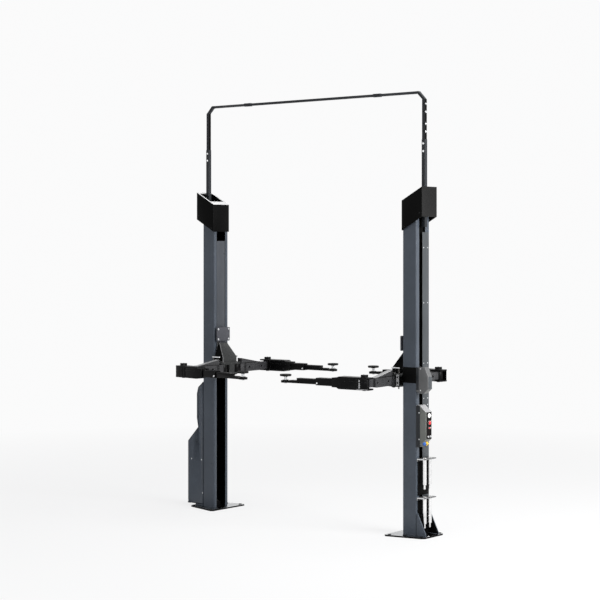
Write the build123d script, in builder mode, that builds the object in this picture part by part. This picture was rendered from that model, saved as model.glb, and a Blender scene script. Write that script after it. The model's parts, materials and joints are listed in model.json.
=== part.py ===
from build123d import *

import os
from math import cos, radians, sin, tan

# Two post car lift. Millimetres, +Z up, floor at Z = 0.
# X runs from the left post to the right post, the front is -Y.
# The right half is modelled in place and its twin is mirrored about the YZ plane.

# Posts: folded sheet columns, open towards the bay
post_spacing = 2650.0
post_width = 160.0
post_depth = 216.0
post_wall = 6.0
post_slot = 136.0
post_top = 3150.0
post_corner = 9.0
groove_width = 100.0
groove_depth = 25.0
groove_front = 50.0

# Base plates: inner edge longer than the outer edge
plate_thickness = 15.0
plate_inner_reach = 195.0
plate_outer_reach = 215.0
plate_inner_length = 540.0
plate_outer_length = 340.0
plate_corner = 26.0
anchor_radius = 9.0
anchor_edge = 30.0
anchor_reaches = (-150.0, 12.5, 175.0)

# Gussets on the outer side of each post
gusset_height = 205.0
gusset_foot = 112.0
gusset_thickness = 10.0

# Hoods over the post heads
hood_inner_reach = 83.0
hood_outer_reach = 159.0
hood_depth = 246.0
hood_sheet = 3.0
hood_face = 290.0
hood_rise = 218.0
hood_pitch = 28.6
hood_rim = 22.0
hood_inner_rim = 62.0

# Lifting screws
screw_radius = 20.0
screw_reach = 5.0
bearing_size = 84.0
bearing_height = 45.0
cap_thickness = 12.0

# Overhead gantry
gantry_tube = 40.0
gantry_wall = 3.0
gantry_grip = 170.0
gantry_lower_rise = 675.0
gantry_rise = 1144.0
gantry_overlap = 200.0
gantry_inner_tube = 33.4
crossbar_size = 25.0
sleeve_size = 33.0
sleeve_length = 90.0
sleeve_reach = 855.0
corner_run = 77.0
corner_rise = 81.0
corner_stub = 25.0
pin_hole = 5.5
pin_hole_step = 74.0
pin_row_shares = (0.30, 0.79)

# Carriages
carriage_drop = 61.0
carriage_headroom = 303.0
carriage_width = 100.0
carriage_depth = 180.0
carriage_wall = 8.0
guide_gap = 0.3
guide_height = 60.0
panel_width = 124.0
panel_setback = 2.0
nut_bore = 24.0
nut_height = 30.0

# Arm heads on the carriages
arm_height = 1495.0
head_reach = 240.0
head_core_width = 80.0
head_neck_width = 116.0
head_cowl_width = 210.0
head_cowl_top_width = 104.0
head_cowl_reach = 210.0
head_cowl_rise = 285.0
head_cowl_nose = 77.0
head_cowl_band = 26.0
head_cowl_band_drop = 16.0
head_clearance = 7.0
fork_thickness = 18.0
fork_length = 310.0
fork_round = 54.0
shoulder_reach = 195.0
shoulder_half_span = 100.0
shoulder_pin = 20.0
pin_gap = 0.05
face_gap = 0.3
side_plate_width = 30.0
side_plate_thickness = 8.0
side_plate_rise = 10.0

# Bumper plates above the arms
bumper_height = 146.0
bumper_rise = 358.0
bumper_width = 200.0
bumper_thickness = 12.0
bumper_offset = 37.0

# First links
link_length = 537.6
link_width = 100.0
link_height = 84.0
link_wall = 7.0
link_box_start = 30.0
link_end_plate = 12.0
elbow_room = 120.0
tongue_width = 52.0
tongue_height = 78.0
tongue_round = 46.0
link_hole = 12.0
link_hole_shares = (0.335, 0.70)
web_start = 72.0
web_end = 380.0
web_rise = 56.0
web_width = 60.0
elbow_pin = 18.0
elbow_cap = 52.0
elbow_cap_height = 24.0
pin_stand = 8.0

# Outer stage of the telescopic arm
outer_start = 62.0
outer_length = 340.0
outer_width = 98.0
outer_height = 92.0
outer_wall = 8.0
outer_end_plate = 10.0
clevis_width = 106.0
clevis_thickness = 14.0
clevis_tail = 75.0
clevis_corner = 12.0
clevis_end = 285.0
clevis_taper = 24.0

# Middle stage
middle_start = 205.0
middle_end = 530.0
middle_height = 72.0
middle_side_gap = 2.0
middle_wall = 7.0

# Inner stage with its tip plate
inner_start = 400.0
inner_end = 759.0
inner_height = 52.0
inner_side_gap = 2.0
inner_wall = 6.0
pad_reach = 909.0
tip_thickness = 22.0
tip_round = 46.0
tip_doubler_end = 844.0
tip_doubler_rise = 6.0

# Screw pads
pad_radius = 57.0
pad_thickness = 25.0
pad_top = 51.0
pad_screw = 15.0
pad_screw_gap = 0.3
pad_screw_end = -40.0

# Where the arms stand: shoulder to elbow direction and elbow to pad direction
front_link_angle = -84.1
front_arm_angle = -174.5
rear_link_angle = 88.9
rear_arm_angle = 176.0
rear_arm_retraction = 18.5

# Control box, guard box and cover on the post sides
control_box_outline = (
    (0, 862), (25, 862), (116, 945), (116, 1205), (42, 1268), (0, 1268),
)
control_box_depth = 93.0
panel_plate = 4.0
panel_bottom = 947.0
panel_top = 1203.0
knob_drop = 32.0
knob_radius = 22.0
stop_drop = 100.0
stop_radius = 18.0
lamp_drop = 150.0
lamp_radius = 9.0
key_rise = 24.0
key_half_span = 18.0
key_radius = 11.0
control_stand = 18.0
guard_outline = (
    (0, 1398), (40, 1379), (88, 1381), (140, 1426), (140, 1546), (98, 1634), (0, 1630),
)
guard_depth = 66.0
cover_outline = (
    (0, 30), (198, 30), (220, 57), (220, 697), (72, 852), (91, 952), (91, 1211), (72, 1279), (0, 1340),
)
cover_sheet = 3.0
box_edge = 4.0

# Cable cover strip on the outer face
strip_front = -8.0
strip_rear = 94.0
strip_thickness = 3.0
strip_headroom = 220.0
strip_bottom = 60.0
left_strip_bottom = 1345.0

# Racks with pad extensions on the right post
rack_level = 752.0
rack_step = 374.0
rack_thickness = 10.0
rack_reach = 85.0
rack_width = 200.0
rack_flange = 28.0
extension_front = -35.0
extension_pitch = 85.0
extension_radius = 20.0
extension_length = 262.0
extension_head = 6.0
extension_head_radius = 26.0
extension_pin = 11.0
extension_pin_length = 42.0
extension_gap = 0.5

post_x = post_spacing / 2
post_inner = post_x - post_width / 2
post_outer = post_x + post_width / 2
post_front = -post_depth / 2
hood_top = post_top + hood_rise
strip_top = post_top - strip_headroom
gantry_foot = post_top - gantry_grip
gantry_joint = post_top + gantry_lower_rise
gantry_top = post_top + gantry_rise
gantry_corner_start = gantry_top - corner_rise
carriage_bottom = arm_height - carriage_drop
carriage_top = post_top - carriage_headroom
head_cowl_top = arm_height + head_cowl_rise
bumper_middle = arm_height + bumper_rise
link_box_end = link_length - elbow_room
link_half = link_height / 2
nose_x = post_inner + panel_setback
head_back = post_inner - head_clearance
head_front = post_x - head_reach
cowl_front = post_x - head_cowl_reach
shoulder_x = post_x - shoulder_reach

os.makedirs("parts", exist_ok=True)


def save(piece, name):
    """Label a finished piece and write its STEP file."""
    piece.part.label = name
    export_step(piece.part, f"parts/{name}.step")


def save_pair(piece, name):
    """Write the right hand piece and its mirrored left hand twin."""
    save(piece, f"{name}_right")
    with BuildPart() as twin:
        mirror(piece.part, about=Plane.YZ)
    save(twin, f"{name}_left")


def both_sides(piece):
    """One builder that holds the right hand solids and their left hand twins."""
    with BuildPart() as pair:
        add(piece.part)
        mirror(piece.part, about=Plane.YZ)
    return pair


def outline(points):
    """A closed face through points, in the sketch that is being built."""
    with BuildLine() as path:
        Polyline(*points, close=True)
    make_face(path.edges())


def plate_half_length(reach):
    """Half the length of the base plate at a distance outward from the post's centre."""
    share = (reach + plate_inner_reach) / (plate_inner_reach + plate_outer_reach)
    return (plate_inner_length + share * (plate_outer_length - plate_inner_length)) / 2


def make_base_plate():
    inner = post_x - plate_inner_reach
    outer = post_x + plate_outer_reach
    anchors = [
        (post_x + reach, side * (plate_half_length(reach) - anchor_edge))
        for reach in anchor_reaches
        for side in (-1, 1)
    ]
    with BuildPart() as plate:
        with BuildSketch() as footprint:
            outline([
                (inner, -plate_inner_length / 2), (outer, -plate_outer_length / 2),
                (outer, plate_outer_length / 2), (inner, plate_inner_length / 2),
            ])
            chamfer(footprint.vertices(), plate_corner)
            with Locations(*anchors):
                Circle(anchor_radius, mode=Mode.SUBTRACT)
        extrude(amount=plate_thickness)
    return plate


def make_post():
    with BuildPart() as post:
        with BuildSketch(Plane.XY.offset(plate_thickness)):
            with Locations((post_x, 0)):
                RectangleRounded(post_width, post_depth, post_corner)
                Rectangle(post_width - 2 * post_wall, post_depth - 2 * post_wall, mode=Mode.SUBTRACT)
            with Locations((post_inner + post_wall / 2, 0)):
                Rectangle(2 * post_wall, post_slot, mode=Mode.SUBTRACT)
            groove_middle = post_front + groove_front + groove_width / 2
            groove_x = post_outer - (groove_depth + post_wall) / 2
            with Locations((groove_x, groove_middle)):
                Rectangle(groove_depth + post_wall, groove_width + 2 * post_wall)
            with Locations((post_outer - groove_depth / 2, groove_middle)):
                Rectangle(groove_depth, groove_width, mode=Mode.SUBTRACT)
        extrude(amount=post_top - plate_thickness)
    return post


def make_gussets():
    with BuildPart() as gussets:
        for y in (post_front, -post_front - gusset_thickness):
            with BuildSketch(Plane.XZ.offset(-y - gusset_thickness)):
                outline([
                    (post_outer, plate_thickness), (post_outer + gusset_foot, plate_thickness),
                    (post_outer + gusset_foot, plate_thickness + 2 * gusset_thickness),
                    (post_outer + 2 * gusset_thickness, plate_thickness + gusset_height),
                    (post_outer, plate_thickness + gusset_height),
                ])
            extrude(amount=gusset_thickness)
    return gussets


def make_hood():
    inner = post_x - hood_inner_reach
    outer = post_x + hood_outer_reach
    fall = (outer - inner) * tan(radians(hood_pitch))
    sheet_drop = hood_sheet / cos(radians(hood_pitch))
    back_drop = hood_sheet * tan(radians(hood_pitch))
    with BuildPart() as hood:
        with BuildSketch(Plane.XZ):
            outline([
                (inner, hood_top - fall), (outer, hood_top),
                (outer, hood_top - hood_face), (inner, hood_top - fall - hood_face),
            ])
        extrude(amount=hood_depth / 2, both=True)
        with BuildSketch(Plane.XZ):
            outline([
                (inner + hood_sheet, hood_top - fall - sheet_drop + back_drop),
                (outer - hood_sheet, hood_top - sheet_drop - back_drop),
                (outer - hood_sheet, hood_top - 2 * hood_face),
                (inner + hood_sheet, hood_top - 2 * hood_face),
            ])
        extrude(amount=hood_depth / 2 - hood_sheet, both=True, mode=Mode.SUBTRACT)
        with BuildSketch(Plane.XY.offset(hood_top - fall - hood_face)):
            with Locations(((inner + hood_inner_rim + outer - hood_rim) / 2, 0)):
                Rectangle(outer - inner - hood_inner_rim - hood_rim, hood_depth - 2 * hood_rim)
        extrude(amount=fall + 2 * hood_face, mode=Mode.SUBTRACT)
    return hood


def make_screw():
    with BuildPart() as screw:
        with BuildSketch(Plane.XY.offset(plate_thickness)):
            with Locations((post_x + screw_reach, 0)):
                RectangleRounded(bearing_size, bearing_size, post_corner)
        extrude(amount=bearing_height)
        with BuildSketch(Plane.XY.offset(plate_thickness)):
            with Locations((post_x + screw_reach, 0)):
                Circle(screw_radius)
        extrude(amount=post_top - plate_thickness)
    return screw


def make_cap():
    with BuildPart() as cap:
        with BuildSketch(Plane.XY.offset(post_top)):
            with Locations((post_x, 0)):
                RectangleRounded(post_width, post_depth, post_corner)
        extrude(amount=cap_thickness)
        with BuildSketch(Plane.XY.offset(post_top + cap_thickness)):
            with Locations((post_x + screw_reach, 0)):
                Circle(screw_radius * 2)
        extrude(amount=cap_thickness)
    return cap


def pin_places():
    """Pairs of cross holes through the upper gantry tube, in X and Z."""
    tube_x = post_outer + gantry_tube / 2
    free_length = gantry_corner_start - gantry_joint
    return [
        (tube_x, gantry_joint + share * free_length + side * pin_hole_step / 2)
        for share in pin_row_shares
        for side in (-1, 1)
    ]


def make_lower_tube():
    with BuildPart() as tube:
        with BuildSketch(Plane.XY.offset(gantry_foot)):
            with Locations((post_outer + gantry_tube / 2, 0)):
                RectangleRounded(gantry_tube, gantry_tube, gantry_wall)
                cavity = gantry_tube - 2 * gantry_wall
                Rectangle(cavity, cavity, mode=Mode.SUBTRACT)
        extrude(amount=gantry_joint - gantry_foot)
    return tube


def make_upper_tube():
    start = gantry_joint - gantry_overlap
    with BuildPart() as tube:
        with BuildSketch(Plane.XY.offset(start)):
            with Locations((post_outer + gantry_tube / 2, 0)):
                Rectangle(gantry_inner_tube, gantry_inner_tube)
                cavity = gantry_inner_tube - 2 * gantry_wall
                Rectangle(cavity, cavity, mode=Mode.SUBTRACT)
        extrude(amount=gantry_corner_start - start)
        with BuildSketch(Plane.XZ):
            with Locations(*pin_places()):
                Circle(pin_hole)
        extrude(amount=gantry_tube, both=True, mode=Mode.SUBTRACT)
    return tube


def make_corner():
    outer = post_outer + (gantry_tube + gantry_inner_tube) / 2
    inner = outer - gantry_inner_tube
    bar_end = outer - corner_run - corner_stub
    bar_bottom = gantry_top - crossbar_size
    with BuildPart() as corner:
        with BuildSketch(Plane.XZ):
            outline([
                (inner, gantry_corner_start), (outer, gantry_corner_start),
                (outer - corner_run, gantry_top), (bar_end, gantry_top),
                (bar_end, bar_bottom), (bar_end + corner_stub / 2, bar_bottom),
            ])
        extrude(amount=gantry_inner_tube / 2, both=True)
    return corner


def make_crossbar():
    bar_end = post_outer + (gantry_tube + gantry_inner_tube) / 2 - corner_run - corner_stub
    middle = gantry_top - crossbar_size / 2
    with BuildPart() as bar:
        with Locations((0, 0, middle)):
            Box(2 * bar_end, crossbar_size, crossbar_size)
        with Locations((-sleeve_reach, 0, middle), (sleeve_reach, 0, middle)):
            Box(sleeve_length, sleeve_size, sleeve_size)
    return bar


def make_carriage():
    body_x = post_inner + post_wall + guide_gap + carriage_width / 2
    middle = (carriage_bottom + carriage_top) / 2
    height = carriage_top - carriage_bottom
    guide_depth = post_depth - 2 * post_wall - 2 * guide_gap
    with BuildPart() as carriage:
        with Locations((body_x, 0, middle)):
            Box(carriage_width, carriage_depth, height)
        for z in (carriage_bottom + guide_height, carriage_top - guide_height):
            with Locations((body_x, 0, z)):
                Box(carriage_width, guide_depth, guide_height)
        panel_depth = carriage_width / 2 + body_x - carriage_width - nose_x
        with Locations((nose_x + panel_depth / 2, 0, middle)):
            Box(panel_depth, panel_width, height)
        with Locations((body_x, 0, middle - nut_height)):
            Box(
                carriage_width - 2 * carriage_wall, carriage_depth - 2 * carriage_wall,
                height, mode=Mode.SUBTRACT,
            )
        with Locations((post_x + screw_reach, 0, middle)):
            Cylinder(nut_bore, height * 2, mode=Mode.SUBTRACT)
    return carriage


def make_cowl(bottom_level):
    """The sloped cowl over the fork, which grows wider downward."""
    nose_level = bottom_level + head_cowl_nose
    with BuildPart() as cowl:
        with BuildSketch(Plane.XZ):
            outline([
                (head_back, bottom_level), (cowl_front, bottom_level), (cowl_front, nose_level),
                (head_back - head_cowl_band, head_cowl_top - head_cowl_band_drop),
                (head_back, head_cowl_top),
            ])
        extrude(amount=head_cowl_width / 2, both=True)
        with BuildSketch(Plane.YZ.offset(cowl_front)):
            outline([
                (-head_cowl_width / 2, bottom_level), (head_cowl_width / 2, bottom_level),
                (head_cowl_width / 2, nose_level), (head_cowl_top_width / 2, head_cowl_top),
                (-head_cowl_top_width / 2, head_cowl_top), (-head_cowl_width / 2, nose_level),
            ])
        extrude(amount=head_back - cowl_front, mode=Mode.INTERSECT)
    return cowl


def make_head():
    half = link_half + face_gap
    top_level = arm_height + half
    bottom_level = arm_height - half - fork_thickness
    neck_x = (head_back + nose_x) / 2
    with BuildPart() as head:
        with BuildSketch(Plane.XZ):
            outline([
                (nose_x, bottom_level), (head_front, bottom_level),
                (head_front, top_level), (nose_x, top_level),
            ])
        extrude(amount=head_core_width / 2, both=True)
        add(make_cowl(top_level).part)
        with Locations((neck_x, 0, top_level)):
            Box(
                nose_x - head_back, head_neck_width, head_cowl_top - top_level,
                align=(Align.CENTER, Align.CENTER, Align.MIN),
            )
        for level in (bottom_level, top_level):
            with BuildSketch(Plane.XY.offset(level)) as fork:
                front = shoulder_x - fork_round
                with Locations(((front + head_back) / 2, 0)):
                    Rectangle(head_back - front, fork_length)
                fillet(fork.vertices().sort_by(Axis.X)[:2], fork_round)
            extrude(amount=fork_thickness)
        side_x = head_back - side_plate_width / 2
        side_y = (fork_length + side_plate_thickness) / 2
        with Locations((side_x, -side_y, bottom_level), (side_x, side_y, bottom_level)):
            Box(
                side_plate_width, side_plate_thickness,
                2 * (half + fork_thickness) + side_plate_rise,
                align=(Align.CENTER, Align.CENTER, Align.MIN),
            )
        with Locations(
            (shoulder_x, -shoulder_half_span, arm_height), (shoulder_x, shoulder_half_span, arm_height)
        ):
            Cylinder(shoulder_pin, 2 * (half + fork_thickness + pin_stand))
    return head


def make_bumper():
    with BuildPart() as bumper:
        with BuildSketch(Plane.YZ.offset(post_inner - bumper_offset)):
            with Locations((0, bumper_middle)):
                RectangleRounded(bumper_width, bumper_height, post_corner)
        extrude(amount=bumper_thickness)
        with Locations((post_inner - bumper_offset + bumper_thickness, 0, bumper_middle)):
            Box(
                bumper_offset - bumper_thickness + panel_setback, panel_width - 2 * head_clearance,
                bumper_height * 0.7, align=(Align.MIN, Align.CENTER, Align.CENTER),
            )
    return bumper


def make_link(frame):
    with BuildPart(frame) as link:
        Cylinder(link_width / 2, link_height)
        with Locations((link_box_start, 0, 0)):
            Box(
                link_box_end - link_box_start, link_width, link_height,
                align=(Align.MIN, Align.CENTER, Align.CENTER),
            )
        with Locations((link_box_end - link_end_plate, 0, 0)):
            Box(
                elbow_room + link_end_plate, tongue_width, tongue_height,
                align=(Align.MIN, Align.CENTER, Align.CENTER),
            )
        with Locations((link_length, 0, 0)):
            Cylinder(tongue_round, outer_height - 2 * face_gap)
        with BuildSketch(Plane(frame.origin, x_dir=frame.x_dir, z_dir=-frame.y_dir)):
            outline([
                (web_start, link_half), (web_end, link_half), (web_start, link_half + web_rise),
            ])
        extrude(amount=web_width / 2, both=True)
        cavity_start = link_width / 2 + link_wall
        with Locations((cavity_start, 0, 0)):
            Box(
                link_box_end - link_end_plate - cavity_start, link_width - 2 * link_wall,
                link_height - 2 * link_wall, align=(Align.MIN, Align.CENTER, Align.CENTER),
                mode=Mode.SUBTRACT,
            )
        for share in link_hole_shares:
            with Locations((share * link_length, 0, 0)):
                Cylinder(link_hole, link_width * 2, rotation=(90, 0, 0), mode=Mode.SUBTRACT)
        Cylinder(shoulder_pin + pin_gap, link_height * 2, mode=Mode.SUBTRACT)
        with Locations((link_length, 0, 0)):
            Cylinder(elbow_pin + pin_gap, link_height * 2, mode=Mode.SUBTRACT)
    return link


def make_outer(frame):
    clevis_top = outer_height / 2 + clevis_thickness
    with BuildPart(frame) as outer:
        with Locations((outer_start, 0, 0)):
            Box(
                outer_length - outer_start, outer_width, outer_height,
                align=(Align.MIN, Align.CENTER, Align.CENTER),
            )
        half = clevis_width / 2
        for side in (-1, 1):
            with BuildSketch(Plane(frame.origin, x_dir=frame.x_dir, z_dir=-frame.y_dir)):
                outline([
                    (0, side * outer_height / 2), (clevis_end, side * outer_height / 2),
                    (clevis_end - clevis_taper, side * clevis_top), (0, side * clevis_top),
                ])
            extrude(amount=half, both=True)
        for level in (outer_height / 2, -clevis_top):
            with BuildSketch(frame.offset(level)):
                outline([
                    (0, -half), (0, half), (clevis_corner - clevis_tail, half),
                    (-clevis_tail, half - clevis_corner), (-clevis_tail, clevis_corner - half),
                    (clevis_corner - clevis_tail, -half),
                ])
            extrude(amount=clevis_thickness)
        with Locations((outer_start + outer_end_plate, 0, 0)):
            Box(
                outer_length, outer_width - 2 * outer_wall, outer_height - 2 * outer_wall,
                align=(Align.MIN, Align.CENTER, Align.CENTER), mode=Mode.SUBTRACT,
            )
        Cylinder(elbow_pin, 2 * (clevis_top + pin_stand))
        with Locations((0, 0, clevis_top)):
            Box(
                elbow_cap, elbow_cap, elbow_cap_height,
                align=(Align.CENTER, Align.CENTER, Align.MIN),
            )
    return outer


def middle_level():
    """Centre height of the middle stage, which lies on the floor of the outer stage."""
    return -outer_height / 2 + outer_wall + face_gap + middle_height / 2


def middle_width():
    return outer_width - 2 * outer_wall - 2 * middle_side_gap


def inner_level():
    """Centre height of the inner stage, which lies on the floor of the middle stage."""
    return middle_level() - middle_height / 2 + middle_wall + face_gap + inner_height / 2


def inner_width():
    return middle_width() - 2 * middle_wall - 2 * inner_side_gap


def make_middle(frame, retraction):
    length = middle_end - middle_start
    with BuildPart(frame) as middle:
        with Locations(((middle_start + middle_end) / 2 - retraction, 0, middle_level())):
            Box(length, middle_width(), middle_height)
            Box(
                length, middle_width() - 2 * middle_wall, middle_height - 2 * middle_wall,
                mode=Mode.SUBTRACT,
            )
    return middle


def make_inner(frame, retraction):
    length = inner_end - inner_start
    floor = inner_level() - inner_height / 2
    tip_start = inner_end - 2 * tip_thickness
    tip_length = pad_reach - tip_start
    with BuildPart(frame) as inner:
        with Locations(((inner_start + inner_end) / 2 - retraction, 0, inner_level())):
            Box(length, inner_width(), inner_height)
            Box(
                length - 2 * tip_thickness, inner_width() - 2 * inner_wall,
                inner_height - 2 * inner_wall, mode=Mode.SUBTRACT,
            )
        with Locations((inner_start - retraction, 0, inner_level())):
            Box(
                3 * tip_thickness, inner_width() - 2 * inner_wall,
                inner_height - 2 * inner_wall, mode=Mode.SUBTRACT,
            )
        with Locations((tip_start - retraction, 0, floor)):
            Box(
                tip_length, inner_width(), tip_thickness,
                align=(Align.MIN, Align.CENTER, Align.MIN),
            )
            Box(
                tip_doubler_end - tip_start, inner_width(), tip_thickness + tip_doubler_rise,
                align=(Align.MIN, Align.CENTER, Align.MIN),
            )
        with Locations((pad_reach - retraction, 0, floor + tip_thickness / 2)):
            Cylinder(tip_round, tip_thickness)
            Cylinder(pad_screw + pad_screw_gap, 2 * tip_thickness, mode=Mode.SUBTRACT)
    return inner


def make_pad(frame, retraction):
    screw_height = pad_top - pad_thickness - pad_screw_end
    with BuildPart(frame) as pad:
        with Locations((pad_reach - retraction, 0, pad_top - pad_thickness / 2)):
            Cylinder(pad_radius, pad_thickness)
        with Locations((pad_reach - retraction, 0, pad_screw_end + screw_height / 2)):
            Cylinder(pad_screw, screw_height)
    return pad


def side_box(points, depth, near=post_front):
    """A housing on the outer face of a post, from its front outline in X and Z."""
    with BuildPart() as box:
        with BuildSketch(Plane.XZ.offset(-near - depth)):
            outline([(post_outer + reach, z) for reach, z in points])
        extrude(amount=depth)
        front_edges = box.faces().sort_by(Axis.Y)[0].edges()
        chamfer(front_edges.sort_by(Axis.X)[1:], box_edge)
    return box


def make_control_panel():
    face = post_outer + control_box_outline[3][0]
    middle_y = post_front + control_box_depth / 2
    with BuildPart() as panel:
        with BuildSketch(Plane.YZ.offset(face)):
            with Locations((middle_y, (panel_bottom + panel_top) / 2)):
                RectangleRounded(control_box_depth - 4 * box_edge, panel_top - panel_bottom, box_edge)
        extrude(amount=panel_plate)
        with BuildSketch(Plane.YZ.offset(face + panel_plate)):
            with Locations((middle_y, panel_top - knob_drop)):
                Circle(knob_radius)
            with Locations((middle_y, panel_top - stop_drop)):
                Circle(stop_radius)
            with Locations((middle_y, panel_top - lamp_drop)):
                Circle(lamp_radius)
            key_z = panel_bottom + key_rise
            with Locations((middle_y - key_half_span, key_z), (middle_y + key_half_span, key_z)):
                Circle(key_radius)
        extrude(amount=control_stand)
    return panel


def make_cover():
    bottom = min(z for _, z in cover_outline)
    open_points = [
        (reach if reach > 0 else -2 * cover_sheet, z if z > bottom else bottom - 2 * cover_sheet)
        for reach, z in cover_outline
    ]
    with BuildPart() as cover:
        with BuildSketch(Plane.XZ):
            outline([(-post_outer - reach, z) for reach, z in cover_outline])
        extrude(amount=post_depth / 2 + cover_sheet, both=True)
        with BuildSketch(Plane.XZ):
            outline([(-post_outer - reach, z) for reach, z in open_points])
            offset(amount=-cover_sheet, kind=Kind.INTERSECTION)
        extrude(amount=post_depth / 2, both=True, mode=Mode.SUBTRACT)
    return cover


def make_strips():
    depth = strip_rear - strip_front
    with BuildPart() as strips:
        with Locations((post_outer, strip_front, strip_bottom)):
            Box(
                strip_thickness, depth, strip_top - strip_bottom,
                align=(Align.MIN, Align.MIN, Align.MIN),
            )
        with Locations((-post_outer, strip_front, left_strip_bottom)):
            Box(
                strip_thickness, depth, strip_top - left_strip_bottom,
                align=(Align.MAX, Align.MIN, Align.MIN),
            )
    return strips


def make_racks():
    back = post_outer + strip_thickness
    with BuildPart() as racks:
        for level in (rack_level, rack_level - rack_step):
            with Locations((back, 0, level)):
                Box(rack_reach, rack_width, rack_thickness, align=(Align.MIN, Align.CENTER, Align.MAX))
                Box(
                    rack_thickness / 2, rack_width, rack_flange,
                    align=(Align.MIN, Align.CENTER, Align.MAX),
                )
            for y in (extension_front, extension_front + extension_pitch):
                with Locations((back + rack_reach / 2, y, level)):
                    Cylinder(extension_radius + extension_gap, rack_thickness * 4, mode=Mode.SUBTRACT)
    return racks


def make_extensions():
    x = post_outer + strip_thickness + rack_reach / 2
    with BuildPart() as extensions:
        for level in (rack_level, rack_level - rack_step):
            for y in (extension_front, extension_front + extension_pitch):
                bottom = level + extension_head - extension_length
                with Locations((x, y, level)):
                    Cylinder(
                        extension_head_radius, extension_head,
                        align=(Align.CENTER, Align.CENTER, Align.MIN),
                    )
                with Locations((x, y, bottom)):
                    Cylinder(
                        extension_radius, extension_length,
                        align=(Align.CENTER, Align.CENTER, Align.MIN),
                    )
                    Cylinder(
                        extension_pin, extension_pin_length,
                        align=(Align.CENTER, Align.CENTER, Align.MAX),
                    )
    return extensions


def arm_frames(corner):
    """Frames of the first link and of the telescopic arm on the right hand carriage."""
    side = -1 if corner == "front" else 1
    link_angle = radians(front_link_angle if corner == "front" else rear_link_angle)
    arm_angle = radians(front_arm_angle if corner == "front" else rear_arm_angle)
    shoulder = (shoulder_x, side * shoulder_half_span, arm_height)
    elbow = (
        shoulder[0] + link_length * cos(link_angle),
        shoulder[1] + link_length * sin(link_angle),
        arm_height,
    )
    link_frame = Plane(shoulder, x_dir=(cos(link_angle), sin(link_angle), 0), z_dir=(0, 0, 1))
    arm_frame = Plane(elbow, x_dir=(cos(arm_angle), sin(arm_angle), 0), z_dir=(0, 0, 1))
    return link_frame, arm_frame


# Fixed pieces, right and left
save_pair(make_base_plate(), "base_plate")
save_pair(make_post(), "post")
save(both_sides(make_hood()), "hoods")
save(both_sides(make_lower_tube()), "gantry_lower_tubes")
save(both_sides(make_upper_tube()), "gantry_upper_tubes")
save(both_sides(make_corner()), "gantry_corners")
save(make_crossbar(), "gantry_crossbar")
save(both_sides(make_gussets()), "base_gussets")
save(both_sides(make_screw()), "lifting_screws")
save(both_sides(make_cap()), "post_caps")
save(make_strips(), "cable_covers")

# Fixed pieces on one side only
save(side_box(control_box_outline, control_box_depth), "control_box")
save(make_control_panel(), "control_panel")
save(side_box(guard_outline, guard_depth), "guard_box")
save(make_cover(), "side_cover")
save(make_racks(), "extension_racks")
save(make_extensions(), "pad_extensions")

# Moving pieces
save_pair(make_carriage(), "carriage")
save_pair(make_head(), "arm_head")
save_pair(make_bumper(), "bumper")
for corner in ("front", "rear"):
    link_frame, arm_frame = arm_frames(corner)
    drawn_in = rear_arm_retraction if corner == "rear" else 0.0
    save_pair(make_link(link_frame), f"first_link_{corner}")
    save_pair(make_outer(arm_frame), f"outer_stage_{corner}")
    save_pair(make_middle(arm_frame, drawn_in), f"middle_stage_{corner}")
    save_pair(make_inner(arm_frame, 2 * drawn_in), f"inner_stage_{corner}")
    save_pair(make_pad(arm_frame, 2 * drawn_in), f"screw_pad_{corner}")
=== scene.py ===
"""Looks of a two post car lift: finishes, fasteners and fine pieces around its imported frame."""

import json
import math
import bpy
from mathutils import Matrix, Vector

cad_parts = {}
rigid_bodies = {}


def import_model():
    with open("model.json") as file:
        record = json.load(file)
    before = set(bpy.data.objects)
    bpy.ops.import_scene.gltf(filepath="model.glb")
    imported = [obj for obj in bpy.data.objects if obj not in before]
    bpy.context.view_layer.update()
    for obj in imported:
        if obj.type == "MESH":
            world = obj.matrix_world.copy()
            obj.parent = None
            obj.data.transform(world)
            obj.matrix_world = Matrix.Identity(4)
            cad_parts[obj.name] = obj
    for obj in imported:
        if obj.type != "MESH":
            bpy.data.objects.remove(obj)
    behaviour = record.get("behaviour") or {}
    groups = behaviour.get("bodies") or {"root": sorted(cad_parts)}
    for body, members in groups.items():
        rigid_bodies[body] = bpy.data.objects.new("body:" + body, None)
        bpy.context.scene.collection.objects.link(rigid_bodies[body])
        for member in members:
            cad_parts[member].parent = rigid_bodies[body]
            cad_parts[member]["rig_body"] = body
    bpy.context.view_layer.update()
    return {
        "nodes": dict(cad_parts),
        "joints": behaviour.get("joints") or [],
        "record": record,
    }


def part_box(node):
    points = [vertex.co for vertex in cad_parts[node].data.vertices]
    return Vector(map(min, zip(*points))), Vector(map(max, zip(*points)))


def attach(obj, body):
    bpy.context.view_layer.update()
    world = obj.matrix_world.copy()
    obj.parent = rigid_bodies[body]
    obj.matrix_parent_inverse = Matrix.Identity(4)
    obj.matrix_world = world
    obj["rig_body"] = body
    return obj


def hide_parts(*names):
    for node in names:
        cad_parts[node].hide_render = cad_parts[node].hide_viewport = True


bl_info = {
    "name": "Two post car lift",
    "version": (1, 0, 0),
    "blender": (4, 5, 0),
    "location": "3D View > Sidebar > Lift",
    "description": "Dresses the frame of a two post car lift with paint, metal, rubber and fasteners",
    "category": "Object",
}

import bmesh
import bpy
from mathutils import Matrix, Vector

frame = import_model()
joints = {joint["name"]: joint for joint in frame["joints"]}
slots = {part["node"]: part["material_slot"] for part in frame["record"]["subparts"]}

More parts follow.
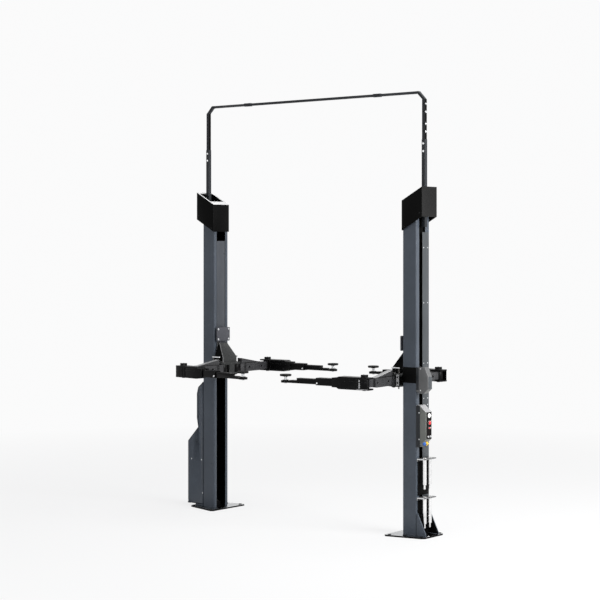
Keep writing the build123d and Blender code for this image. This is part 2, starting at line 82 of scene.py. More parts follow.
SIDES = {"left": -1, "right": 1}
DRAWN_IN = {"front": 0.0, "rear": 0.0185}
CORNERS = [(end, side) for end in DRAWN_IN for side in SIDES]
UP = Vector((0, 0, 1))
MERGED = 1e-5
PLATE_TOP = 0.0150
BACKDROP = (0.962, 0.962, 0.964, 1)
LAMPS = (
    ("side light", (7.5, 0.5, 4.2), (0.3, 0, 1.9), 5.0, 770),
    ("front light", (2.0, -9.0, 4.5), (0.2, 0, 1.7), 6.0, 180),
    ("top light", (0.5, 1.0, 8.5), (0.2, 0, 1.5), 5.0, 260),
)


# Sizes and colours


def color_value(name, words, value):
    return bpy.props.FloatVectorProperty(
        name=name, description=words, subtype="COLOR", size=4, min=0, max=1, default=(*value, 1)
    )


def length_value(name, words, value):
    return bpy.props.FloatProperty(name=name, description=words, unit="LENGTH", min=0, default=value)


class LiftColors(bpy.types.PropertyGroup):
    """Colours of the paints, plastics and bare metals"""

    column: color_value("Column paint", "Posts, gussets and side cover", (0.056, 0.067, 0.084))
    # inside: near black painted shade, laid on faces where shade falls, such as inside the posts, between the
    # gussets and on the hood fronts
    inside: color_value("Inside coat", "Dark coat inside the posts, grooves and hoods", (0.002, 0.002, 0.002))
    hood: color_value("Hood paint", "Hoods on the post heads", (0.010, 0.010, 0.010))
    gantry: color_value("Gantry paint", "Overhead tubes", (0.014, 0.016, 0.019))
    carriage: color_value("Carriage paint", "Carriages inside the posts", (0.054, 0.059, 0.068))
    head: color_value("Head paint", "Arm heads on the carriages", (0.022, 0.023, 0.023))
    # edge: light plate paint, also laid as a painted highlight on lit tops, slopes and rims
    edge: color_value("Plate paint", "Light plates on links and brackets", (0.300, 0.300, 0.305))
    arm: color_value("Arm paint", "Telescopic stages of the arms", (0.002, 0.002, 0.0022))
    link: color_value("Link paint", "First links of the arms", (0.034, 0.034, 0.036))
    strip: color_value("Strip paint", "Cable cover strips on the posts", (0.050, 0.055, 0.060))
    guard: color_value("Guard paint", "Guard box above the control box", (0.105, 0.106, 0.108))
    box: color_value("Box paint", "Control box", (0.125, 0.130, 0.121))
    bumper: color_value("Bumper paint", "Bumper plates above the arms", (0.060, 0.062, 0.072))
    plate: color_value("Base plate", "Bright base plates on the floor", (0.50, 0.51, 0.52))
    primer: color_value("Primer", "What shows where paint is rubbed off an edge", (0.16, 0.16, 0.17))
    zinc: color_value("Zinc", "Plated screws and pad stems", (0.78, 0.79, 0.80))
    chrome: color_value("Chrome", "Turned pad extensions", (0.95, 0.95, 0.95))
    # painted highlight: light grey laid on the upward faces of the black hoods
    shelf: color_value("Shelf coat", "Bright upward faces in the hoods", (0.62, 0.62, 0.62))
    steel: color_value("Screw steel", "Lifting screws under their grease", (0.10, 0.095, 0.09))
    rubber: color_value("Rubber", "Pad faces", (0.003, 0.003, 0.003))
    nylon: color_value("Black plastic", "Control panel", (0.005, 0.004, 0.004))
    white: color_value("White plastic", "Main switch and arrows", (0.80, 0.80, 0.79))
    red: color_value("Red plastic", "Stop button and lamp", (0.62, 0.025, 0.030))
    blue: color_value("Blue plastic", "Single phase socket", (0.030, 0.115, 0.420))
    yellow: color_value("Yellow plastic", "Low voltage socket", (0.760, 0.480, 0.050))
    dust: color_value("Dust", "Workshop dust on upward faces", (0.30, 0.29, 0.27))


class LiftSizes(bpy.types.PropertyGroup):
    """Sizes of the small pieces"""

    screw_radius: length_value("Lifting screw radius", "Outside radius of the lifting screws", 0.020)
    screw_pitch: length_value("Lifting screw pitch", "Distance between two turns of its thread", 0.012)
    pad_rim: length_value("Pad rim", "Height of the rubber face of a pad", 0.016)
    cover_screw: length_value("Cover screw radius", "Head radius of the screws in sheet covers", 0.0065)
    frame_bolt: length_value("Frame bolt radius", "Head radius of the larger hexagon bolts", 0.011)
    arm_bolt: length_value("Arm bolt radius", "Head radius of the stage stop bolts", 0.010)
    weld: length_value("Weld radius", "Radius of the weld beads", 0.0045)


# Modelling steps


def select_only(piece):
    bpy.ops.object.select_all(action="DESELECT")
    piece.select_set(True)
    bpy.context.view_layer.objects.active = piece


def new_object(name, data):
    item = bpy.data.objects.new(name, data)
    bpy.context.scene.collection.objects.link(item)
    return item


def discard(*pieces):
    for piece in pieces:
        mesh = piece.data
        bpy.data.objects.remove(piece)
        bpy.data.meshes.remove(mesh)


def named(name):
    """The object that was just added, named, with its place moved into its mesh."""
    piece = bpy.context.active_object
    piece.name = name
    piece.data.name = name
    bpy.ops.object.transform_apply(location=True, rotation=True, scale=True)
    return piece


def add_block(name, low, high):
    bpy.ops.object.select_all(action="DESELECT")
    low, high = Vector(low), Vector(high)
    bpy.ops.mesh.primitive_cube_add(size=1, location=(low + high) / 2, scale=high - low)
    return named(name)


def add_rod(name, radius, bottom, top, vertices):
    bpy.ops.object.select_all(action="DESELECT")
    bpy.ops.mesh.primitive_cylinder_add(
        vertices=vertices, radius=radius, depth=top - bottom, location=(0, 0, (bottom + top) / 2)
    )
    return named(name)


def is_top(at, normal):
    return normal.z > 0.9


def pick_faces(piece, test):
    """Edit mode on the piece, with the faces selected whose centre and normal pass the test."""
    select_only(piece)
    bpy.ops.object.mode_set(mode="EDIT")
    bpy.ops.mesh.select_mode(type="FACE")
    bpy.ops.mesh.select_all(action="DESELECT")
    mesh = bmesh.from_edit_mesh(piece.data)
    for face in mesh.faces:
        face.select = test(face.calc_center_median(), face.normal)
    mesh.select_flush_mode()
    bmesh.update_edit_mesh(piece.data)


def inset_faces(piece, test, width, depth):
    """Inset the chosen faces and move them in by depth, as for a recess or a raised field."""
    pick_faces(piece, test)
    bpy.ops.mesh.inset(thickness=width, depth=depth)
    bpy.ops.object.mode_set(mode="OBJECT")


def apply_modifier(piece, kind, **values):
    select_only(piece)
    modifier = piece.modifiers.new(kind.title(), kind)
    for name, value in values.items():
        setattr(modifier, name, value)
    bpy.ops.object.modifier_apply(modifier=modifier.name)


def smooth_by(piece, degrees):
    select_only(piece)
    bpy.ops.object.shade_smooth_by_angle(angle=math.radians(degrees))


def round_edges(piece, width, segments=2):
    apply_modifier(
        piece, "BEVEL", width=width, segments=segments, limit_method="ANGLE",
        angle_limit=math.radians(35), use_clamp_overlap=True,
    )
    smooth_by(piece, 40)


def rounded_block(name, low, high, width):
    block = add_block(name, low, high)
    round_edges(block, width)
    return block


def proud_blocks(name, x, faces, depth, z, width):
    """A rounded block on each face, given as (y, way), that stands out from it by depth."""
    blocks = []
    for y, way in faces:
        near, far = sorted((y, y + way * depth))
        blocks.append(rounded_block(name, (x[0], near, z[0]), (x[1], far, z[1]), width))
    return blocks


def y_faces(low, high):
    """The two faces of a box that look along Y, each as its Y and the way it looks."""
    return (low.y, -1), (high.y, 1)


def on_sides(low, high, spots, proud=0.0):
    """Places at (x, z) spots on the two faces of a box that look along Y."""
    return [((x, y + way * proud, z), (0, way, 0)) for x, z in spots for y, way in y_faces(low, high)]


def merge_doubles(piece, planar=False, outward=False):
    select_only(piece)
    bpy.ops.object.mode_set(mode="EDIT")
    bpy.ops.mesh.select_all(action="SELECT")
    bpy.ops.mesh.remove_doubles(threshold=MERGED)
    if planar:
        bpy.ops.mesh.dissolve_limited(angle_limit=math.radians(0.5))
    if outward:
        bpy.ops.mesh.normals_make_consistent(inside=False)
    bpy.ops.object.mode_set(mode="OBJECT")


def draw_profile(name, points):
    """An open line through points in the XZ plane, drawn by extruding one vertex."""
    bpy.ops.object.select_all(action="DESELECT")
    bpy.ops.mesh.primitive_plane_add(size=0.01, location=(points[0][0], 0, points[0][1]))
    piece = named(name)
    bpy.ops.object.mode_set(mode="EDIT")
    bpy.ops.mesh.select_mode(type="VERT")
    bpy.ops.mesh.select_all(action="SELECT")
    bpy.ops.mesh.merge(type="CENTER")
    for (x0, z0), (x1, z1) in zip(points, points[1:]):
        bpy.ops.mesh.extrude_region_move(TRANSFORM_OT_translate={"value": (x1 - x0, 0, z1 - z0)})
    bpy.ops.object.mode_set(mode="OBJECT")
    return piece


def lathe(name, points, steps=40, smooth=35):
    """A turned piece about the Z axis, from (radius, height) points."""
    piece = draw_profile(name, points)
    bpy.ops.object.mode_set(mode="EDIT")
    bpy.ops.mesh.select_all(action="SELECT")
    bpy.ops.mesh.spin(steps=steps, angle=math.tau, center=(0, 0, 0), axis=(0, 0, 1))
    bpy.ops.object.mode_set(mode="OBJECT")
    merge_doubles(piece, outward=True)
    smooth_by(piece, smooth)
    return piece


def wind(name, points, pitch, turns, steps, start, smooth):
    """A profile wound about the Z axis, up from a start height."""
    piece = draw_profile(name, points)
    apply_modifier(
        piece, "SCREW", axis="Z", angle=math.tau, screw_offset=pitch, iterations=turns,
        steps=steps, render_steps=steps, use_merge_vertices=True, merge_threshold=MERGED,
    )
    piece.data.transform(Matrix.Translation((0, 0, start)))
    merge_doubles(piece, outward=True)
    smooth_by(piece, smooth)
    return piece


def thread(name, radius, depth, pitch, bottom, top, steps):
    """A screw thread about the Z axis, as one winding profile with a flat crest and root."""
    flat = pitch * 0.32
    slope = pitch * 0.18
    root = radius - depth
    points = [(root, 0), (root, flat), (radius, flat + slope), (radius, 2 * flat + slope), (root, pitch)]
    turns = max(1, int((top - bottom) / pitch) - 1)
    return wind(name, points, pitch, turns, steps, bottom, 30)


def coil(name, radius, wire, pitch, bottom, top):
    """A coil spring about the Z axis, wound from a ring of wire."""
    angles = [step * math.tau / 8 for step in range(9)]
    ring = [(radius + wire * math.cos(angle), wire * math.sin(angle)) for angle in angles]
    turns = max(1, int((top - bottom) / pitch))
    return wind(name, ring, pitch, turns, 20, bottom + wire, 60)


def join_pieces(name, pieces):
    bpy.ops.object.select_all(action="DESELECT")
    for piece in pieces:
        piece.select_set(True)
    bpy.context.view_layer.objects.active = pieces[0]
    if len(pieces) > 1:
        bpy.ops.object.join()
    pieces[0].name = name
    pieces[0].data.name = name
    return pieces[0]


def copy_of(model, matrix, name="copy"):
    """A copy with its own mesh, placed by a matrix in its vertices."""
    twin = new_object(name, model.data.copy())
    twin.data.transform(matrix)
    if matrix.determinant() < 0:
        twin.data.flip_normals()
    return twin


def aimed(point, direction):
    """The matrix that stands a piece made along +Z on a point, along a direction."""
    turn = UP.rotation_difference(Vector(direction)).to_matrix().to_4x4()
    return Matrix.Translation(point) @ turn


def level_frame(origin, along):
    """The matrix of a level piece: its origin, X along it, Z up."""
    return Matrix.Translation(origin) @ Matrix((along, UP.cross(along), UP)).transposed().to_4x4()


def in_frame(matrix, places):
    """(point, direction) places turned from a piece's own frame into the lift's."""
    turn = matrix.to_3x3()
    return [(matrix @ Vector(point), turn @ Vector(direction)) for point, direction in places]


# Finishes on pieces


def hand_over(piece, body, slot, finish, *nodes):
    """Give a piece its finish and its body, and hide the nodes that it stands for."""
    piece.data.materials.clear()
    piece.data.materials.append(finish_named(finish))
    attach(piece, body)
    if nodes:
        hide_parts(*nodes)
    return piece


def assemble(name, pieces, body, slot, finish, matrix=None):
    """Pieces joined under one name and placed by a matrix, with their body and finish."""
    piece = join_pieces(name, pieces)
    if matrix is not None:
        piece.data.transform(matrix)
    return hand_over(piece, body, slot, finish)


def scatter(name, model, places, body, finish, slot="screw_steel", keep=False):
    """Copies of one model at (point, direction) places, joined into a piece that rides on a body."""
    piece = join_pieces(name, [copy_of(model, aimed(point, direction)) for point, direction in places])
    if not keep:
        discard(model)
    return hand_over(piece, body, slot, finish)


def dress(node, finish, width=0.0015, segments=2, shape=None):
    """A copy of a frame node with its triangles merged into faces and its edges rounded."""
    source = frame["nodes"][node]
    piece = new_object(f"{node}_shell", source.data.copy())
    merge_doubles(piece, planar=True)
    if shape:
        shape(piece)
    round_edges(piece, width, segments)
    return hand_over(piece, source["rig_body"], slots[node], finish, node)


def finish_faces(piece, finish, test):
    """A second finish on the faces that pass the test, such as the dark inside of a post."""
    piece.data.materials.append(finish_named(finish))
    pick_faces(piece, test)
    piece.active_material_index = len(piece.data.materials) - 1
    bpy.ops.object.material_slot_assign()
    bpy.ops.object.mode_set(mode="OBJECT")


def edge_faces(piece, finish, test, width, inner=None):
    """A second finish on a border along the outline of the faces that pass the test."""
    piece.data.materials.append(finish_named(finish))
    border = len(piece.data.materials) - 1
    if inner:
        piece.data.materials.append(finish_named(inner))
    pick_faces(piece, test)
    piece.active_material_index = border
    bpy.ops.object.material_slot_assign()
    bpy.ops.mesh.inset(thickness=width, depth=0)
    piece.active_material_index = border + 1 if inner else 0
    bpy.ops.object.material_slot_assign()
    bpy.ops.object.mode_set(mode="OBJECT")


# Shader nodes and groups


def feed(tree, node, values):
    """Fixed values on a node's inputs, or links where a value is another node's socket."""
    for name, value in values.items():
        if isinstance(value, bpy.types.NodeSocket):
            tree.links.new(value, node.inputs[name])
        else:
            node.inputs[name].default_value = value


def add_node(tree, kind, values=None, **settings):
    """A shader node with its settings and its inputs."""
    node = tree.nodes.new(kind)
    for name, value in settings.items():
        setattr(node, name, value)
    feed(tree, node, values or {})
    return node


def remap(tree, source, low, high, to_low=0.0, to_high=1.0):
    values = {0: source, 1: low, 2: high, 3: to_low, 4: to_high}
    return add_node(tree, "ShaderNodeMapRange", values).outputs[0]


def combine(tree, operation, first, second):
    return add_node(tree, "ShaderNodeMath", {0: first, 1: second}, operation=operation).outputs[0]


def noise(tree, vector, scale, detail=3.0, roughness=0.55):
    values = {"Vector": vector, "Scale": scale, "Detail": detail, "Roughness": roughness}
    return add_node(tree, "ShaderNodeTexNoise", values).outputs[0]


def blend_colors(tree, factor, first, second):
    """Mix two colours, each a socket or a fixed colour, by a mask."""
    return add_node(tree, "ShaderNodeMix", {0: factor, 6: first, 7: second}, data_type="RGBA").outputs[2]


def blend_shaders(tree, share, first, second):
    return add_node(tree, "ShaderNodeMixShader", {0: share, 1: first, 2: second}).outputs[0]


def new_group(name, inputs, outputs):
    """A shader group with a vector and numbers in and numbers out: its inputs' sockets and its end."""
    group = bpy.data.node_groups.new(name, "ShaderNodeTree")
    group.interface.new_socket("Vector", in_out="INPUT", socket_type="NodeSocketVector")
    for socket, value in inputs.items():
        made = group.interface.new_socket(socket, in_out="INPUT", socket_type="NodeSocketFloat")
        made.default_value = value
    for socket in outputs:
        group.interface.new_socket(socket, in_out="OUTPUT", socket_type="NodeSocketFloat")
    return group, group.nodes.new("NodeGroupInput").outputs, group.nodes.new("NodeGroupOutput")


def send_mask(group, given, leave, first, second):
    """Put out the product of two masks and the group's amount."""
    both = combine(group, "MULTIPLY", first, second)
    feed(group, leave, {"Mask": combine(group, "MULTIPLY", both, given["Amount"])})
    return group


def make_edge_wear():
    """Where paint is rubbed thin: along rounded edges, broken up by noise."""
    inputs = {"Radius": 0.004, "Break up": 60.0, "Amount": 0.5}
    group, given, leave = new_group("edge wear", inputs, ["Mask"])
    bevel = add_node(group, "ShaderNodeBevel", {"Radius": given["Radius"]}, samples=4)
    flat = add_node(group, "ShaderNodeNewGeometry").outputs["Normal"]
    dot = add_node(group, "ShaderNodeVectorMath", {0: bevel.outputs[0], 1: flat}, operation="DOT_PRODUCT")
    edge = remap(group, dot.outputs["Value"], 0.995, 0.90)
    broken = remap(group, noise(group, given["Vector"], given["Break up"], 5.0, 0.7), 0.46, 0.62)
    return send_mask(group, given, leave, edge, broken)


def make_powder_grain():
    """The fine orange peel of powder coat, with slow changes of tone and gloss."""
    group, given, leave = new_group("powder grain", {"Grain": 420.0}, ["Height", "Tone", "Gloss"])
    vector = given["Vector"]
    feed(group, leave, {
        "Height": noise(group, vector, given["Grain"], 2.0, 0.5),
        "Tone": remap(group, noise(group, vector, 2.3), 0.3, 0.7),
        "Gloss": remap(group, noise(group, vector, 9.0, 5.0, 0.65), 0.3, 0.7),
    })
    return group


def make_dust():
    """Dust that lies on faces that look up, thin and in patches."""
    group, given, leave = new_group("dust", {"Amount": 0.4}, ["Mask"])
    normal = add_node(group, "ShaderNodeNewGeometry").outputs["Normal"]
    facing = remap(group, add_node(group, "ShaderNodeSeparateXYZ", {0: normal}).outputs["Z"], 0.55, 0.95)
    patches = remap(group, noise(group, given["Vector"], 14.0, 6.0, 0.7), 0.35, 0.75)
    return send_mask(group, given, leave, facing, patches)


def make_scuffs():
    """Fine scratches and rubbed patches from handling, as thin stretched noise."""
    group, given, leave = new_group("scuffs", {"Amount": 0.3}, ["Mask"])
    stretch = add_node(
        group, "ShaderNodeMapping",
        {"Vector": given["Vector"], "Rotation": (0.4, 0.9, 0.3), "Scale": (9, 160, 9)},
    )
    lines = remap(group, noise(group, stretch.outputs[0], 3.0, 4.0, 0.6), 0.60, 0.70)
    patches = remap(group, noise(group, given["Vector"], 5.0, 3.0), 0.48, 0.66)
    return send_mask(group, given, leave, lines, patches)


# Finishes


GROUPS = {}
FINISHES = {}


def place_group(tree, group, vector, **values):
    """The outputs of a shader group placed in a material with its own values."""
    values["Vector"] = vector
    return add_node(tree, "ShaderNodeGroup", values, node_tree=GROUPS[group]).outputs


def start_material(name):
    """A material with its shader and its object coordinates."""
    material = bpy.data.materials.new(name)
    material.use_nodes = True
    tree = material.node_tree
    place = add_node(tree, "ShaderNodeTexCoord").outputs["Object"]
    return material, tree, tree.nodes["Principled BSDF"], place


def add_bump(tree, shader, height, distance):
    bump = add_node(tree, "ShaderNodeBump", {"Height": height, "Distance": distance, "Strength": 1.0})
    feed(tree, shader, {"Normal": bump.outputs[0]})


def shade(color, factor, lift=0.0):
    """A darker or lighter version of a colour."""
    return [min(1.0, channel * factor + lift) for channel in color[:3]] + [1]


def panel_color(name):
    return tuple(getattr(bpy.context.scene.lift_colors, name))


def coated(name, color, roughness, wear, dust, ior=1.30, bare="primer"):
    """Powder coat over steel: tone, gloss and orange peel, rubbed edges, scuffs and dust."""
    material, tree, shader, place = start_material(name)
    powder = place_group(tree, "powder", place, Grain=420.0)
    edges = place_group(tree, "edge", place, Amount=wear)
    scuffs = place_group(tree, "scuffs", place, Amount=wear * 0.5)
    lying = place_group(tree, "dust", place, Amount=dust)
    body = blend_colors(tree, powder["Tone"], shade(color, 0.88), shade(color, 1.12))
    rubbed = combine(tree, "MAXIMUM", edges["Mask"], scuffs["Mask"])
    worn = blend_colors(tree, rubbed, body, panel_color(bare))
    gloss = remap(tree, powder["Gloss"], 0, 1, roughness - 0.05, roughness + 0.07)
    dulled = combine(tree, "MULTIPLY", lying["Mask"], 0.35)
    feed(tree, shader, {
        "IOR": ior,
        "Base Color": blend_colors(tree, lying["Mask"], worn, panel_color("dust")),
        "Roughness": combine(tree, "ADD", gloss, dulled),
    })
    add_bump(tree, shader, powder["Height"], 0.00006)
    return material


def metal(name, color, roughness, brushed=(30, 30, 400), soil=0.0):
    """Bare or plated metal with a fine turned or brushed grain and a little tarnish."""
    material, tree, shader, place = start_material(name)
    stretch = add_node(tree, "ShaderNodeMapping", {"Vector": place, "Scale": brushed})
    lines = noise(tree, stretch.outputs[0], 4.0, 4.0, 0.6)
    patches = remap(tree, noise(tree, place, 18.0, 5.0, 0.7), 0.35, 0.7)
    grain = remap(tree, lines, 0.3, 0.7, roughness - 0.06, roughness + 0.08)
    soiled = combine(tree, "MULTIPLY", patches, 0.10 + soil)
    feed(tree, shader, {
        "Metallic": 1.0,
        "Base Color": blend_colors(tree, patches, color, shade(color, 0.72 - soil)),
        "Roughness": combine(tree, "ADD", grain, soiled),
    })
    add_bump(tree, shader, lines, 0.00002)
    return material


def moulded(name, color, roughness, dust=0.05, ior=1.40, grain=900.0, depth=0.00005):
    """Moulded plastic or rubber with a fine sparked grain, scuffs and dust."""
    material, tree, shader, place = start_material(name)
    scuffs = place_group(tree, "scuffs", place, Amount=0.25)
    lying = place_group(tree, "dust", place, Amount=dust)
    body = blend_colors(tree, scuffs["Mask"], color, shade(color, 1.35, 0.02))
    patches = noise(tree, place, 12.0, 4.0, 0.6)
    feed(tree, shader, {
        "IOR": ior,
        "Base Color": blend_colors(tree, lying["Mask"], body, panel_color("dust")),
        "Roughness": remap(tree, patches, 0.3, 0.7, roughness - 0.06, roughness + 0.08),
    })
    add_bump(tree, shader, noise(tree, place, grain, 2.0), depth)
    return material


FINISH_TABLE = {
    "column": (coated, "column paint", 0.32, 0.30, 0.12),
    # inside: the near black painted shade
    "inside": (coated, "inside coat", 0.50, 0.10, 0.03, 1.12, "hood"),
    "hood": (coated, "hood paint", 0.28, 0.20, 0.03, 1.17),
    "gantry": (coated, "gantry paint", 0.32, 0.25, 0.10),
    "carriage": (coated, "carriage paint", 0.32, 0.35, 0.12),
    "head": (coated, "head paint", 0.26, 0.40, 0.10),
    "edge": (coated, "plate paint", 0.34, 0.25, 0.10),
    "arm": (coated, "arm paint", 0.28, 0.30, 0.03, 1.18),
    "link": (coated, "link paint", 0.26, 0.40, 0.08),
    "strip": (coated, "strip paint", 0.34, 0.20, 0.10),
    "guard": (coated, "guard paint", 0.30, 0.20, 0.12),
    "box": (coated, "box paint", 0.34, 0.15, 0.12),
    "bumper": (coated, "bumper paint", 0.34, 0.30, 0.10),
    "plate": (metal, "bright plate", 0.11, (12, 12, 12)),
    "zinc": (metal, "zinc plate", 0.24),
    "chrome": (metal, "chrome plate", 0.16, (60, 60, 900)),
    "shelf": (coated, "shelf coat", 0.40, 0.20, 0.10),
    "steel": (metal, "greased steel", 0.34, (30, 30, 400), 0.25),
    "rubber": (moulded, "pad rubber", 0.55, 0.04, 1.25, 700.0, 0.00010),
    "nylon": (moulded, "black plastic", 0.46, 0.05, 1.14),
    "white": (moulded, "white plastic", 0.34),
    "red": (moulded, "red plastic", 0.28),
    "blue": (moulded, "blue plastic", 0.36),
    "yellow": (moulded, "yellow plastic", 0.36),
}


def finish_named(name):
    """A finish by its plain name. The first call makes them all, from the colours in the panel."""
    if not FINISHES:
        GROUPS.update(
            edge=make_edge_wear(), powder=make_powder_grain(), dust=make_dust(), scuffs=make_scuffs()
        )
        for key, (build, words, *values) in FINISH_TABLE.items():
            FINISHES[key] = build(words, panel_color(key), *values)
    return FINISHES[name]


# Small pieces that repeat


def hex_bolt(radius):
    """A hexagon head on its washer, standing on Z = 0."""
    base = radius * 0.22
    disc = add_rod("washer", radius * 1.45, 0, base, 28)
    round_edges(disc, base * 0.3)
    head = add_rod("head", radius * 1.12, base, base + radius * 0.72, 6)
    inset_faces(head, is_top, radius * 0.12, radius * 0.06)
    round_edges(head, radius * 0.07)
    return join_pieces("hex_bolt", [disc, head])


def socket_screw(radius):
    """A low round head with a recess for the key, standing on Z = 0."""
    return lathe("socket_screw", [
        (0, radius * 0.18), (radius * 0.42, radius * 0.18), (radius * 0.46, radius * 0.50),
        (radius * 0.72, radius * 0.48), (radius * 0.94, radius * 0.28), (radius, 0.0), (0, 0.0),
    ], 18)


def weld_bead(start, end, radius):
    """A rippled bead along a line."""
    start, end = Vector(start), Vector(end)
    step = radius * 1.3
    ripple = lathe("weld", [(radius * 0.72, 0), (radius, step * 0.45), (radius * 0.72, step)], 8, 60)
    apply_modifier(
        ripple, "ARRAY", count=max(2, int((end - start).length / step)), use_relative_offset=False,
        use_constant_offset=True, constant_offset_displace=(0, 0, step), use_merge_vertices=True,
        merge_threshold=MERGED,
    )
    ripple.data.transform(aimed(start, end - start))
    return ripple


# Operators


class LiftStep(bpy.types.Operator):
    """One step of dressing the lift"""

    bl_idname = "lift.step"
    bl_label = "Lift step"

    def execute(self, context):
        self.make(context.scene.lift_sizes)
        return {"FINISHED"}

    def make(self, sizes):
        raise NotImplementedError


class LIFT_OT_stage(LiftStep):
    """Make the floor, the backdrop light, the lamps and the camera"""

    bl_idname = "lift.stage"
    bl_label = "Stage"

    def make(self, sizes):
        self.make_floor()
        self.make_world()
        for name, place, aim, size, power in LAMPS:
            data = bpy.data.lights.new(name, "AREA")
            data.shape = "DISK"
            data.size = size
            data.energy = power
            lamp = new_object(name, data)
            lamp.location = place
            lamp.rotation_euler = (Vector(aim) - Vector(place)).to_track_quat("-Z", "Y").to_euler()
        self.add_camera()

    def seen_directly(self, tree):
        path = add_node(tree, "ShaderNodeLightPath").outputs
        return combine(tree, "MAXIMUM", path["Is Camera Ray"], path["Is Glossy Ray"])

    def make_floor(self):
        """A soft white floor, which the camera sees glow into the backdrop with distance."""
        bpy.ops.object.select_all(action="DESELECT")
        bpy.ops.mesh.primitive_plane_add(size=80, location=(0, 0, 0))
        floor = named("floor")
        material = bpy.data.materials.new("studio floor")
        material.use_nodes = True
        tree = material.node_tree
        tree.nodes.clear()
        soft = add_node(tree, "ShaderNodeBsdfDiffuse", {"Color": (0.82, 0.82, 0.82, 1)}).outputs[0]
        glow = add_node(tree, "ShaderNodeEmission", {"Color": BACKDROP, "Strength": 1.0}).outputs[0]
        place = add_node(tree, "ShaderNodeTexCoord").outputs["Object"]
        away = add_node(tree, "ShaderNodeVectorMath", {0: place}, operation="LENGTH").outputs["Value"]
        near = blend_shaders(tree, 0.80, soft, glow)
        far = blend_shaders(tree, remap(tree, away, 3.0, 9.0), near, glow)
        shown = blend_shaders(tree, self.seen_directly(tree), soft, far)
        add_node(tree, "ShaderNodeOutputMaterial", {0: shown})
        floor.data.materials.append(material)

    def make_world(self):
        """A cool fill light, with a white backdrop where the camera sees it."""
        world = bpy.data.worlds.new("studio")
        bpy.context.scene.world = world
        world.use_nodes = True
        tree = world.node_tree
        tree.nodes.clear()
        fill, backdrop = (
            add_node(tree, "ShaderNodeBackground", {"Color": color, "Strength": strength}).outputs[0]
            for color, strength in (((0.96, 0.97, 1.0, 1), 0.36), (BACKDROP, 1.0))
        )
        shown = blend_shaders(tree, self.seen_directly(tree), fill, backdrop)
        add_node(tree, "ShaderNodeOutputWorld", {0: shown})

    def add_camera(self):
        data = bpy.data.cameras.new("camera")
        data.sensor_width = 36.0
        data.lens = 98.69
        data.shift_y = -0.0933
        camera = new_object("camera", data)
        camera.location = (10.70752, -12.93037, 2.81502)
        camera.rotation_euler = (math.radians(90), 0, math.radians(40))
        bpy.context.scene.camera = camera


class LIFT_OT_columns(LiftStep):
    """Dress the posts, base plates, gussets, caps and cable strips, with their welds"""

    bl_idname = "lift.columns"
    bl_label = "Columns"

    def make(self, sizes):
        skin = 0.0055
        for side in SIDES:
            low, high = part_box(f"post_{side}")

            def is_shaded_inside(at, normal):
                across = low.x + skin < at.x < high.x - skin / 10 and low.y + skin < at.y < high.y - skin
                return across and abs(normal.z) < 0.5

            post = dress(f"post_{side}", "column", 0.0018)
            # painted shade: the faces inside the post, seen through its slot, in near black
            finish_faces(post, "inside", is_shaded_inside)
            plate = dress(f"base_plate_{side}", "plate", 0.0012)
            # painted shade: the base plate's side faces in near black
            finish_faces(plate, "inside", lambda at, normal: abs(normal.z) < 0.5)
        gussets = dress("base_gussets", "column", 0.0012)
        # painted shade: the gussets' faces that look at each other in near black
        finish_faces(gussets, "inside", lambda at, normal: abs(normal.y) > 0.9 and at.y * normal.y < 0)
        dress("post_caps", "column")
        dress("cable_covers", "strip", 0.0008)
        self.cover_feet()
        self.set_rings()
        self.weld_feet(sizes.weld)

    def cover_feet(self):
        """Black sheets of painted shade behind the gussets, a black sheet on the right post's front, and thin
        black lines of painted shade in the creases along the gussets.
        """
        low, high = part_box("base_gussets")
        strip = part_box("cable_covers")[1].x
        thickness, inset = 0.0015, 0.0105
        front_low, front_high = 1.476, 1.628
        sheets = []
        # black sheets of painted shade behind the gussets
        for sign in SIDES.values():
            near, far = sorted((sign * strip, sign * (strip + thickness)))
            sheets.append(rounded_block(
                "sheet", (near, low.y + inset, low.z + 0.001), (far, high.y - inset, high.z - 0.004), 0.0005
            ))
        low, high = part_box("post_right")
        sheets.append(rounded_block(
            "sheet", (low.x + 0.0005, low.y - 0.0020, front_low), (high.x - 0.0005, low.y, front_high), 0.0008
        ))
        # thin black lines of painted shade in the creases where the gussets meet the post
        for sign in SIDES.values():
            x = sorted((sign * (high.x - 0.0015), sign * (high.x + 0.0025)))
            z = (PLATE_TOP + 0.0005, 0.218)
            sheets += proud_blocks("seam", x, y_faces(low, high), 0.0008, z, 0.0002)
        assemble("black_sheets", sheets, "frame", "cover_grey", "inside")

    def set_rings(self):
        """A ring round each anchor hole of the base plates."""
        places = []
        for mount in frame["record"]["mounts"]:
            if mount["kind"] == "bolt_pattern":
                along, across = (mount["dims"][f"spacing_{axis}_mm"] / 2000 for axis in "xy")
                places += [
                    ((x, y, PLATE_TOP), (0, 0, 1)) for x in (-along, along) for y in (-across, across)
                ]
        ring = lathe("ring", [
            (0.0092, 0), (0.0092, 0.0030), (0.0115, 0.0040), (0.0150, 0.0034), (0.0165, 0), (0.0092, 0),
        ], 28)
        scatter("anchor_rings", ring, places, "frame", "inside", "cover_grey")

    def weld_feet(self, radius):
        """Beads along the posts' feet, along the gussets' feet and up their edges."""
        reach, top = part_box("base_gussets")[1].xz
        lines = []
        for side, sign in SIDES.items():
            low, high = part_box(f"post_{side}")
            inner, outer = sorted((low.x, high.x), key=abs)
            foot = low.z
            for y in (low.y, high.y):
                within = y * (1 - 0.010 / abs(y))
                lines += [
                    ((inner + sign * 0.010, y, foot), (outer - sign * 0.004, y, foot)),
                    ((outer + sign * 0.004, within, foot), (sign * (reach - 0.006), within, foot)),
                    ((outer, within, foot + 0.006), (outer, within, top - 0.006)),
                ]
        beads = [weld_bead(start, end, radius) for start, end in lines]
        assemble("foot_welds", beads, "frame", "column_paint", "column")


